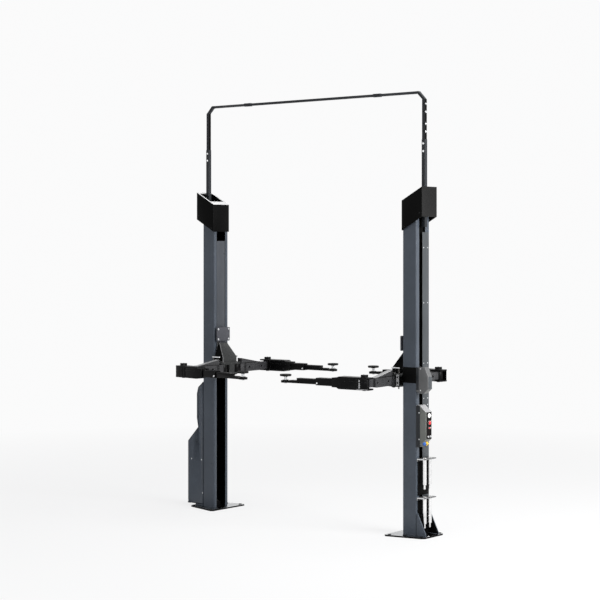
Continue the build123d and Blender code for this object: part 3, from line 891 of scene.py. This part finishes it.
class LIFT_OT_hoods(LiftStep):
    """Dress the hoods and set their screws"""

    bl_idname = "lift.hoods"
    bl_label = "Hoods"

    def make(self, sizes):
        low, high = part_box("hoods")
        half_sheet = 0.0015

        def is_outer(at, normal):
            return abs(at.x) > high.x - half_sheet and abs(normal.x) > 0.9

        def is_shaded(at, normal):
            within = abs(at.x) < high.x - half_sheet and abs(at.y) < high.y - half_sheet
            return abs(normal.y) > 0.9 or (within and normal.z < 0.5)

        hoods = dress(
            "hoods", "hood", 0.0014, shape=lambda piece: inset_faces(piece, is_outer, 0.010, -0.0012)
        )
        # painted shade: the hoods' front and back faces and their insides in near black
        finish_faces(hoods, "inside", is_shaded)
        # painted highlight: the hoods' upward faces in light grey
        finish_faces(hoods, "shelf", lambda at, normal: normal.z > 0.5)
        outer, inner = (high.x - 0.030, 3.115), (high.x - 0.212, 2.985)
        spots = [(sign * x, z) for sign in SIDES.values() for x, z in (outer, inner)]
        scatter(
            "hood_screws", socket_screw(sizes.cover_screw), on_sides(low, high, spots), "frame", "hood"
        )


class LIFT_OT_gantry(LiftStep):
    """Dress the overhead tubes and set their bolts"""

    bl_idname = "lift.gantry"
    bl_label = "Gantry"

    def make(self, sizes):
        for node in ("gantry_lower_tubes", "gantry_upper_tubes", "gantry_corners", "gantry_crossbar"):
            tube = dress(node, "gantry", 0.0012)
            if node == "gantry_upper_tubes":
                # painted shade: the upper tubes' faces toward X in near black
                finish_faces(tube, "inside", lambda at, normal: abs(normal.x) > 0.9)
        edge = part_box("gantry_upper_tubes")[1].x
        low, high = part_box("gantry_lower_tubes")
        centre = high.x - (high.y - low.y) / 2
        bolt_heights = (3.901, 3.974, 4.090, 4.168)
        places = []
        for sign in SIDES.values():
            places += on_sides(low, high, [(sign * centre, high.z - down) for down in (0.114, 0.040)])
            places += [((sign * edge, 0, z), (sign, 0, 0)) for z in bolt_heights]
        scatter("gantry_bolts", hex_bolt(sizes.frame_bolt * 0.7), places, "frame", "zinc")


class LIFT_OT_lifting_screws(LiftStep):
    """Make the threaded lifting screws on their bearing blocks"""

    bl_idname = "lift.lifting_screws"
    bl_label = "Lifting screws"

    def make(self, sizes):
        low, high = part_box("lifting_screws")
        half = 0.042
        foot = low.z
        block_top = foot + 0.045
        block = add_block("block", (-half, -half, foot), (half, half, block_top))
        inset_faces(block, is_top, 0.012, -0.004)
        round_edges(block, 0.004)
        collar = lathe("collar", [
            (0.036, foot + 0.040), (0.036, foot + 0.052), (0.030, foot + 0.058), (0.021, foot + 0.058),
            (0.021, foot + 0.040),
        ])
        winding = thread(
            "winding", sizes.screw_radius, 0.0022, sizes.screw_pitch, foot + 0.052, high.z - 0.010, 16
        )
        shank = add_rod("shank", sizes.screw_radius - 0.003, foot + 0.040, high.z, 20)
        round_edges(shank, 0.001)
        model = join_pieces("model", [block, collar, winding, shank])
        places = [((sign * (high.x - half), 0, 0), (0, 0, 1)) for sign in SIDES.values()]
        piece = scatter("lifting_screw_pair", model, places, "frame", "steel")
        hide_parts("lifting_screws")
        finish_faces(piece, "inside", lambda at, normal: at.z < block_top + 0.002)


class LIFT_OT_boxes(LiftStep):
    """Dress the side cover, guard box and control box, with screws and sockets"""

    bl_idname = "lift.boxes"
    bl_label = "Side boxes"

    plate_proud = 0.0015

    def make(self, sizes):
        cover = dress("side_cover", "column")
        # painted shade: a near black border round the cover's front and back faces, left off along the outer
        # side
        edge_faces(cover, "inside", lambda at, normal: abs(normal.y) > 0.9, 0.008)
        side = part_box("side_cover")[1].x
        finish_faces(cover, "column", lambda at, normal: abs(normal.y) > 0.9 and side - 0.010 < at.x)
        guard = dress("guard_box", "guard")
        # painted shade: the guard box's face toward +X in the darker strip paint
        finish_faces(guard, "strip", lambda at, normal: normal.x > 0.98)
        box = dress("control_box", "box")
        # painted highlight: the control box's upward faces in light plate paint
        finish_faces(box, "edge", lambda at, normal: normal.z > 0.3)
        self.make_back_plate()
        self.set_screws(sizes)
        self.make_sockets()

    def make_back_plate(self):
        """The dark plates that the two boxes stand on, seen beside the post."""
        proud = self.plate_proud
        rows = (("control_box", 0.045, 0.004, 0.002), ("guard_box", 0.030, 0.034, 0.004))
        sheets = []
        for node, reach, below, above in rows:
            low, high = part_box(node)
            sheets += [
                rounded_block(
                    "sheet", (low.x, y - proud, low.z + below), (low.x + reach, y + proud, high.z - above),
                    0.0008,
                )
                for y in (low.y, high.y)
            ]
        assemble("box_back_plate", sheets, "frame", "cover_grey", "gantry")

    def set_screws(self, sizes):
        head = socket_screw(sizes.cover_screw)
        low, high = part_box("side_cover")
        cover = on_sides(low, high, ((-1.572, 0.505), (-1.426, 0.504), (-1.412, 0.150)))
        scatter("side_cover_screws", head, cover, "frame", "zinc", keep=True)
        low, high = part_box("guard_box")
        spots = [(low.x + 0.051, z) for z in (low.z + 0.032, high.z - 0.016)]
        scatter("guard_box_screws", head, on_sides(low, high, spots), "frame", "zinc", keep=True)
        low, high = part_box("control_box")
        spots = [(low.x + 0.036, z) for z in (low.z + 0.079, high.z - 0.073)]
        box = on_sides(low, high, spots, self.plate_proud)
        scatter("control_box_screws", head, box, "frame", "zinc", keep=True)
        low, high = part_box("cable_covers")
        inset = 0.018
        rows = (
            (high.x, 1, (1.260, 1.322, 1.664, 2.247, 2.780)), (low.x, -1, (1.420, 1.840, 2.310, 2.780))
        )
        strip = [
            ((x, y, z), (way, 0, 0))
            for x, way, heights in rows for z in heights for y in (low.y + inset, high.y - inset)
        ]
        scatter("strip_screws", head, strip, "frame", "zinc")

    def make_sockets(self):
        """Two round sockets on the slope below the control box."""
        low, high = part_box("control_box")
        slope = Vector((0.083, 0, -0.091)).normalized()
        for name, y in (("blue", low.y + 0.026), ("yellow", low.y + 0.066)):
            socket = lathe(f"{name}_socket", [
                (0, 0.010), (0.0095, 0.010), (0.0100, 0.024), (0.0135, 0.024), (0.0145, 0.020),
                (0.0145, 0.004), (0.0175, 0.003), (0.0175, -0.001), (0, -0.001),
            ], 28)
            socket.data.transform(aimed((low.x + 0.072, y, 0.905), slope))
            hand_over(socket, "frame", "panel_black", name)


class LIFT_OT_control_panel(LiftStep):
    """Make the control panel with its switch, buttons, lamp, keys and arrows"""

    bl_idname = "lift.control_panel"
    bl_label = "Control panel"

    def make(self, sizes):
        low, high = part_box("control_panel")
        middle = (low.y + high.y) / 2
        face = low.x + 0.004
        field = face - 0.0010
        switch, stop, lamp, keys = high.z - 0.032, high.z - 0.100, high.z - 0.150, low.z + 0.024
        plate = add_block("control_plate", (low.x, low.y, low.z), (face, high.y, high.z))
        inset_faces(plate, lambda at, normal: normal.x > 0.9, 0.0035, field - face)
        round_edges(plate, 0.0010)
        hand_over(plate, "frame", "panel_black", "nylon", "control_panel")
        key = [
            (0, 0.0060), (0.0050, 0.0060), (0.0055, 0.0100), (0.0095, 0.0095), (0.0108, 0.0070),
            (0.0110, 0), (0, 0),
        ]
        parts = (
            ("main_switch", "white", 0, switch, [
                (0, 0.0165), (0.0060, 0.0175), (0.0085, 0.0165), (0.0095, 0.0060), (0.0195, 0.0050),
                (0.0215, 0.0035), (0.0220, 0), (0, 0),
            ]),
            ("stop_button", "red", 0, stop, [
                (0, 0.0170), (0.0100, 0.0160), (0.0165, 0.0125), (0.0178, 0.0100), (0.0165, 0.0085),
                (0.0095, 0.0080), (0.0090, 0), (0, 0),
            ]),
            ("lamp", "red", 0, lamp, [
                (0, 0.0110), (0.0045, 0.0100), (0.0070, 0.0070), (0.0075, 0.0030), (0.0088, 0.0025),
                (0.0088, 0), (0, 0),
            ]),
            ("key_front", "zinc", -0.018, keys, key),
            ("key_rear", "zinc", 0.018, keys, key),
        )
        for name, finish, offset, z, points in parts:
            place = aimed((field, middle + offset, z), (1, 0, 0))
            assemble(name, [lathe(name, points, 32)], "frame", "panel_black", finish, place)
        grip = add_block("switch_grip", (-0.0035, -0.0155, 0), (0.0035, 0.0155, 0.0155))
        round_edges(grip, 0.0020, 3)
        grip.data.transform(aimed((face, middle, switch), (1, 0, 0)))
        hand_over(grip, "frame", "panel_black", "white")
        self.make_arrows(face - 0.0002, middle + 0.0270, ((high.z - 0.088, 180), (lamp, 0)))
        self.make_frames(field, middle, ((stop, 0.0195), (lamp, 0.0105)))

    def make_arrows(self, x, y, rows):
        """Two plain arrows, up and down, beside the buttons."""
        arrows = []
        for z, degrees in rows:
            arrow = add_rod("arrow", 0.0085, -0.0005, 0.0005, 3)
            round_edges(arrow, 0.0003, 1)
            turn = Matrix.Rotation(math.radians(90), 4, "Y") @ Matrix.Rotation(math.radians(degrees), 4, "Z")
            arrow.data.transform(Matrix.Translation((x, y, z)) @ turn)
            arrows.append(arrow)
        assemble("arrows", arrows, "frame", "panel_black", "white")

    def make_frames(self, x, y, rows):
        """Thin silver rings round the stop button and the lamp."""
        rings = []
        for z, radius in rows:
            bore = radius - 0.0028
            ring = lathe("ring", [
                (bore, 0), (bore, 0.0022), (radius - 0.0008, 0.0022), (radius, 0.0012), (radius, 0),
                (bore, 0),
            ], 32)
            ring.data.transform(aimed((x, y, z), (1, 0, 0)))
            rings.append(ring)
        assemble("button_rings", rings, "frame", "panel_black", "zinc")


class LIFT_OT_racks(LiftStep):
    """Dress the racks and make the turned pad extensions that stand in them"""

    bl_idname = "lift.racks"
    bl_label = "Racks"

    def make(self, sizes):
        rack = dress("extension_racks", "guard", 0.0008)
        # painted highlight: the racks' front faces in bright zinc
        finish_faces(rack, "zinc", lambda at, normal: normal.y < -0.9)
        low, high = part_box("pad_extensions")
        rack_low, rack_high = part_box("extension_racks")
        body = 0.262
        length = body + 0.042
        model = lathe("extension", [
            (0, 0), (0.010, 0), (0.011, 0.001), (0.011, 0.041), (0.0185, 0.042), (0.020, 0.044),
            (0.020, 0.100), (0.0192, 0.101), (0.0192, 0.104), (0.020, 0.105), (0.020, body + 0.036),
            (0.0255, body + 0.036), (0.026, body + 0.0365), (0.026, body + 0.0415), (0.0255, length),
            (0.0145, length), (0.0140, body + 0.030), (0, body + 0.030),
        ], 36)
        x = (low.x + high.x) / 2
        places = [
            ((x, y, top - length), (0, 0, 1))
            for top in (high.z, low.z + length) for y in (low.y + 0.026, high.y - 0.026)
        ]
        piece = scatter("turned_extensions", model, places, "frame", "chrome", "extension_zinc")
        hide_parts("pad_extensions")
        bolts = [
            ((rack_low.x + 0.005, y, z), (1, 0, 0))
            for z in (rack_high.z - 0.019, rack_low.z + 0.009)
            for y in (rack_low.y + 0.014, rack_high.y - 0.014)
        ]
        scatter("rack_bolts", hex_bolt(0.0065), bolts, "frame", "steel")
        # black sheets of painted shade behind the racks
        x, y = (rack_low.x, rack_low.x + 0.0012), (-0.0870, 0.0960)
        backs = [
            rounded_block("back", (x[0], y[0], bottom), (x[1], y[1], top), 0.0004)
            for bottom, top in ((0.222, 0.345), (0.395, 0.735))
        ]
        assemble("rack_backs", backs, "frame", "cover_grey", "inside")


class LIFT_OT_carriages(LiftStep):
    """Dress the carriages, arm heads and bumpers, with bolts, plates and restraint rods"""

    bl_idname = "lift.carriages"
    bl_label = "Carriages"

    def make(self, sizes):
        cowl_foot, cowl_top, cowl_half = 1.565, 1.765, 0.12

        def is_cowl_side(at, normal):
            return abs(normal.y) > 0.6 and at.z > cowl_foot and abs(at.y) < cowl_half

        for side, sign in SIDES.items():
            dress(f"carriage_{side}", "carriage")
            head = dress(f"arm_head_{side}", "head", 0.0022, 3)
            # painted highlight and painted shade: a light rim round the cowl's side faces, near black within
            edge_faces(head, "edge", is_cowl_side, 0.005, "inside")
            finish_faces(head, "bumper", lambda at, normal: at.z > cowl_top and abs(normal.y) < 0.6)
            dress(f"bumper_{side}", "bumper", 0.0020)
            low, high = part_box(f"bumper_{side}")
            face = low.x if sign > 0 else high.x
            inset = 0.020
            corners = [
                ((face, y, z), (-sign, 0, 0))
                for y in (low.y + inset, high.y - inset) for z in (low.z + inset, high.z - inset)
            ]
            scatter(f"bumper_screws_{side}", socket_screw(0.011), corners, f"carriage_{side}", "zinc")
            self.make_head_details(side, sign, f"carriage_{side}")

    def make_head_details(self, side, sign, body):
        """Bracket plates on the arm head's side faces, and the restraints' rods and grips."""
        low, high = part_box(f"arm_head_{side}")
        plate_x, plate_half, plate_low, plate_high = sign * 1.2235, 0.0145, 1.446, 1.554
        rod_x, rod_middle = sign * 1.2215, 1.495
        plates = []
        for y, way in y_faces(low, high):
            near, far = sorted((y, y + way * 0.0025))
            plate = add_block(
                "plate", (plate_x - plate_half, near, plate_low), (plate_x + plate_half, far, plate_high)
            )
            inset_faces(plate, lambda at, normal: normal.y * way > 0.9, 0.003, -0.0006)
            round_edges(plate, 0.0005)
            plates.append(plate)
        assemble(f"bracket_plates_{side}", plates, body, "carriage_grey", "edge")
        bolts = on_sides(low, high, [(plate_x, z) for z in (1.475, 1.528)], 0.0020)
        scatter(f"bracket_bolts_{side}", hex_bolt(0.0062), bolts, body, "arm")
        shoulders = (low.y + 0.023, high.y - 0.023)
        rods = []
        for y in shoulders:
            rod = self.make_restraint_rod()
            rod.data.transform(Matrix.Translation((rod_x, y, rod_middle)))
            rods.append(rod)
        assemble(f"restraint_rods_{side}", rods, body, "screw_steel", "steel")
        near, far = sorted((sign * 1.134, sign * 1.234))
        grip_half, grip_low, grip_high = 0.009, 1.610, 1.622
        grips = [
            rounded_block("grip", (near, y - grip_half, grip_low), (far, y + grip_half, grip_high), 0.0035)
            for y in shoulders
        ]
        assemble(f"restraint_grips_{side}", grips, body, "screw_steel", "zinc")

    def make_restraint_rod(self):
        """A pull rod of the arm restraint: shank, collar, spring and knob, about the fork's middle."""
        shank = lathe("shank", [
            (0, -0.0810), (0.0050, -0.0810), (0.0065, -0.0795), (0.0065, -0.0608), (0.0062, -0.0606),
            (0.0062, 0.0606), (0.0105, 0.0608), (0.0105, 0.0640), (0.0055, 0.0645), (0.0055, 0.1150),
            (0.0090, 0.1152), (0.0090, 0.1280), (0.0070, 0.1300), (0, 0.1300),
        ], 24)
        spring = coil("spring", 0.0085, 0.0014, 0.0050, 0.0655, 0.0985)
        return join_pieces("rod", [shank, spring])


class LIFT_OT_arms(LiftStep):
    """Dress the links and stages of the arms, with pins, caps, stops and collars"""

    bl_idname = "lift.arms"
    bl_label = "Arms"

    def make(self, sizes):
        models = self.make_models(sizes)
        for end, side in CORNERS:
            tag = f"{end}_{side}"
            shoulder, elbow = (Vector(joints[f"{kind}_{tag}"]["pos_m"]) for kind in ("shoulder", "elbow"))
            arm = level_frame(elbow, Vector(joints[f"middle_slide_{tag}"]["axis"]).normalized())
            link = level_frame(shoulder, (elbow - shoulder).normalized())
            self.paint_link(dress(f"first_link_{tag}", "link", 0.0020), link.inverted())
            for stage in ("outer_stage", "middle_stage", "inner_stage"):
                dress(f"{stage}_{tag}", "arm", 0.0018)
            self.set_fittings(models, tag, side, arm, link, DRAWN_IN[end])
            self.make_ribs(tag, arm, link)
            self.make_elbow_web(tag, arm, -1 if (arm.inverted() @ shoulder).y > 0 else 1)
        discard(*models.values())

    def paint_link(self, piece, to_link):
        """Painted shade in black on the two ends of a link, and a painted highlight in light paint on the
        slope of its gusset.
        """
        near, far, box_top = 0.066, 0.470, 0.046

        def is_shaded_end(at, normal):
            return not near <= (to_link @ at).x <= far

        def is_lit_slope(at, normal):
            return normal.z > 0.4 and (to_link @ at).z > box_top

        finish_faces(piece, "arm", is_shaded_end)
        finish_faces(piece, "edge", is_lit_slope)

    def make_models(self, sizes):
        return {
            "stop": socket_screw(sizes.arm_bolt),
            "small": socket_screw(0.0045),
            "collar": lathe("collar", [
                (0.0162, -0.0010), (0.0290, -0.0010), (0.0300, 0), (0.0300, 0.0040), (0.0290, 0.0052),
                (0.0172, 0.0052), (0.0162, 0.0042), (0.0162, -0.0010),
            ], 36),
            "pin": lathe("pin", [
                (0, 0.0060), (0.0110, 0.0060), (0.0125, 0.0045), (0.0125, 0.0010), (0.0235, 0.0008),
                (0.0245, -0.0005), (0, -0.0005),
            ], 36),
        }

    def set_fittings(self, models, tag, side, arm, link, drawn):
        """Stop screws, cap screws, the pad's collar and the shoulder pin's discs."""
        rows = (
            ("middle_stops", "stop", arm, f"middle_stage_{tag}", "zinc",
             [((0.516 - drawn, way * 0.039, -0.018), (0, way, 0)) for way in (-1, 1)]),
            ("cap_screws", "small", arm, f"outer_stage_{tag}", "arm",
             [((x, y, 0.084), (0, 0, 1)) for x in (-0.018, 0.018) for y in (-0.018, 0.018)]),
            ("pad_collar", "collar", arm, f"inner_stage_{tag}", "arm",
             [((0.909 - 2 * drawn, 0, -0.0084), (0, 0, 1))]),
            ("shoulder_pins", "pin", link, f"carriage_{side}", "steel",
             [((0, 0, way * 0.0683), (0, 0, way)) for way in (1, -1)]),
        )
        for name, model, matrix, body, finish, places in rows:
            scatter(f"{name}_{tag}", models[model], in_frame(matrix, places), body, finish, keep=True)

    def make_ribs(self, tag, arm, link):
        """Long ribs on the outer stage, and the plates, ribs and gusset welds of the link; the link's ribs
        and plates are black as painted shade.
        """
        depth, rounding = 0.0035, 0.0012
        stage_faces, link_faces = (((-half, -1), (half, 1)) for half in (0.049, 0.050))
        rails = proud_blocks("rail", (0.070, 0.330), stage_faces, depth, (0.016, 0.024), rounding)
        assemble(f"outer_rails_{tag}", rails, f"outer_stage_{tag}", "arm_black", "arm", arm)
        ribs = []
        # painted shade: the link's ribs in black arm paint
        for x in (0.094, 0.112):
            ribs += proud_blocks("rib", (x, x + 0.006), link_faces, depth, (-0.040, 0.0418), rounding)
        assemble(f"link_ribs_{tag}", ribs, f"first_link_{tag}", "arm_black", "arm", link)
        # painted shade: the link's plates in black arm paint
        plates = [
            rounded_block("plate", (0.086, -0.0515, low), (0.395, 0.0515, low + 0.003), 0.0010)
            for low in (0.042, -0.045)
        ]
        assemble(f"link_plates_{tag}", plates, f"first_link_{tag}", "link_grey", "arm", link)
        beads = [weld_bead((0.080, y, 0.0452), (0.372, y, 0.0452), 0.0032) for y in (-0.0305, 0.0305)]
        assemble(f"link_welds_{tag}", beads, f"first_link_{tag}", "arm_black", "arm", link)

    def make_elbow_web(self, tag, arm, way):
        """The web that joins the clevis plates away from the link, the box's end plate, and strips that carry
        a painted highlight in light paint on the right arms and are black on the left.
        """
        def block(name, x, y, z, width):
            near, far = sorted((way * y[0], way * y[1]))
            return rounded_block(name, (x[0], near, z[0]), (x[1], far, z[1]), width)

        # painted highlight: light strips along the elbow on the right arms, black on the left arms
        highlight_paint = "edge" if tag.endswith("right") else "arm"
        rows = (
            ("elbow_web", "arm", [
                block("web", (-0.0620, 0.0605), (0.0485, 0.0530), (-0.0462, 0.0462), 0.0010),
                block("rib", (-0.0590, 0.0580), (0.0528, 0.0552), (0.0100, 0.0180), 0.0010),
            ]),
            ("elbow_end", "arm", [
                block("end", (0.0600, 0.0770), (-0.0532, 0.0532), (-0.0455, 0.0455), 0.0012),
            ]),
            ("elbow_trim", highlight_paint, [
                block("strip", (0.0180, 0.0340), (0.0525, 0.0545), (-0.0440, 0.0380), 0.0008),
                block("edge", (-0.0610, 0.0560), (0.0528, 0.0542), (-0.0580, -0.0500), 0.0005),
            ]),
        )
        for name, finish, blocks in rows:
            assemble(f"{name}_{tag}", blocks, f"outer_stage_{tag}", "arm_black", finish, arm)


class LIFT_OT_pads(LiftStep):
    """Make the screw pads: a ribbed rubber face on a steel cup and a threaded stem"""

    bl_idname = "lift.pads"
    bl_label = "Screw pads"

    def make(self, sizes):
        low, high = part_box("screw_pad_front_right")
        radius = (high.x - low.x) / 2
        height = high.z - low.z
        rim = sizes.pad_rim
        face = self.make_face(radius, rim)
        cup = lathe("cup", [
            (0, -rim), (radius * 0.94, -rim), (radius * 0.96, -rim - 0.001), (radius * 0.94, -0.0190),
            (radius * 0.42, -0.0215), (radius * 0.36, -0.0250), (0, -0.0250),
        ], 48)
        stem = thread("stem", 0.0149, 0.0014, 0.0050, -height + 0.003, -0.022, 18)
        core = lathe("core", [
            (0, -height), (0.0110, -height), (0.0136, -height + 0.003), (0.0136, -0.020), (0, -0.020),
        ], 24)
        steel = join_pieces("pad_steel", [stem, core])
        for end, side in CORNERS:
            tag = f"{end}_{side}"
            low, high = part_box(f"screw_pad_{tag}")
            place = Matrix.Translation(((low.x + high.x) / 2, (low.y + high.y) / 2, high.z))
            rubber = copy_of(face, place, f"pad_face_{tag}")
            hand_over(rubber, f"screw_pad_{tag}", "pad_rubber", "rubber", f"screw_pad_{tag}")
            for name, model, finish in (("pad_stem", steel, "zinc"), ("pad_cup", cup, "arm")):
                twin = copy_of(model, place, f"{name}_{tag}")
                hand_over(twin, f"screw_pad_{tag}", "pad_rubber", finish)
        discard(face, cup, steel)

    def make_face(self, radius, rim):
        """A rubber disc with a raised middle and rim, and ribs between them."""
        field = -0.0028
        disc = lathe("disc", [
            (0, field), (radius * 0.30, field), (radius * 0.32, 0), (radius * 0.44, 0),
            (radius * 0.46, field), (radius * 0.86, field), (radius * 0.88, 0), (radius - 0.002, 0),
            (radius, -0.002), (radius, -rim + 0.002), (radius - 0.002, -rim), (0, -rim),
        ], 64)
        rib = add_block("rib", (radius * 0.45, -0.0022, -0.0035), (radius * 0.88, 0.0022, -0.0002))
        round_edges(rib, 0.0006, 1)
        ribs = [copy_of(rib, Matrix.Rotation(math.tau * turn / 20, 4, "Z")) for turn in range(20)]
        discard(rib)
        return join_pieces("face", [disc, *ribs])


STEPS = (
    LIFT_OT_stage, LIFT_OT_columns, LIFT_OT_hoods, LIFT_OT_gantry, LIFT_OT_lifting_screws,
    LIFT_OT_boxes, LIFT_OT_control_panel, LIFT_OT_racks, LIFT_OT_carriages, LIFT_OT_arms,
    LIFT_OT_pads,
)


class LIFT_PT_panel(bpy.types.Panel):
    """Colours, sizes and steps of the lift"""

    bl_idname = "LIFT_PT_panel"
    bl_label = "Two post car lift"
    bl_space_type = "VIEW_3D"
    bl_region_type = "UI"
    bl_category = "Lift"

    def draw(self, context):
        for group in (context.scene.lift_colors, context.scene.lift_sizes):
            column = self.layout.column(align=True)
            for name in group.__annotations__:
                column.prop(group, name)
        column = self.layout.column(align=True)
        for step in STEPS:
            column.operator(step.bl_idname)


CLASSES = (LiftColors, LiftSizes, *STEPS, LIFT_PT_panel)


def register():
    for kind in CLASSES:
        bpy.utils.register_class(kind)
    bpy.types.Scene.lift_colors = bpy.props.PointerProperty(type=LiftColors)
    bpy.types.Scene.lift_sizes = bpy.props.PointerProperty(type=LiftSizes)


def unregister():
    del bpy.types.Scene.lift_sizes
    del bpy.types.Scene.lift_colors
    for kind in reversed(CLASSES):
        bpy.utils.unregister_class(kind)


def main():
    register()
    bpy.context.scene.view_settings.view_transform = "Standard"
    for step in STEPS:
        getattr(bpy.ops.lift, step.bl_idname.split(".")[1])()


if __name__ == "__main__":
    main()
